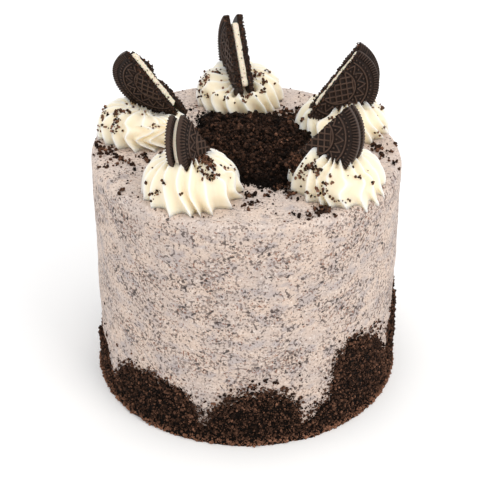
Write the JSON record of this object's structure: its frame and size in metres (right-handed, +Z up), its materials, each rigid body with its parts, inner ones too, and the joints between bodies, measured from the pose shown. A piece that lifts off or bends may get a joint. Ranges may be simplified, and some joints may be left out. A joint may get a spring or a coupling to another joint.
{
  "type": "cookies and cream cake",
  "caption": "Tall round speckled cake with a crumb-coated foot, a crumb heap on top and a ring of piped rosettes that each hold half a sandwich biscuit.",
  "frame": {"origin": "middle of the cake's flat underside, on the axis of the drum", "axes": "+Z up along the drum's axis; -Y is the front, the side that faces the viewer; +X is the viewer's right"},
  "size_m": [0.1662, 0.1661, 0.1786],
  "materials": {
    "frosting": "smoothed buttercream full of fine dark biscuit specks",
    "crumbs": "dry, rough, very dark cocoa biscuit crumbs",
    "cream": "piped pale cream with a soft satin sheen",
    "wafer": "dry, very dark cocoa wafer with low relief",
    "filling": "smooth, firm, off-white biscuit filling"
  },
  "bodies": {
    "root": {"cake": "frosting", "crumb_heap": "crumbs", "rosette_back": "cream", "rosette_back_right": "cream", "rosette_front_right": "cream", "rosette_front_left": "cream", "rosette_back_left": "cream", "biscuit_back_wafer_a": "wafer", "biscuit_back_filling": "filling", "biscuit_back_wafer_b": "wafer", "biscuit_back_right_wafer_a": "wafer", "biscuit_back_right_filling": "filling", "biscuit_back_right_wafer_b": "wafer", "biscuit_front_right_wafer_a": "wafer", "biscuit_front_right_filling": "filling", "biscuit_front_right_wafer_b": "wafer", "biscuit_front_left_wafer_a": "wafer", "biscuit_front_left_filling": "filling", "biscuit_front_left_wafer_b": "wafer", "biscuit_back_left_wafer_a": "wafer", "biscuit_back_left_filling": "filling", "biscuit_back_left_wafer_b": "wafer"}
  },
  "joints": []
}
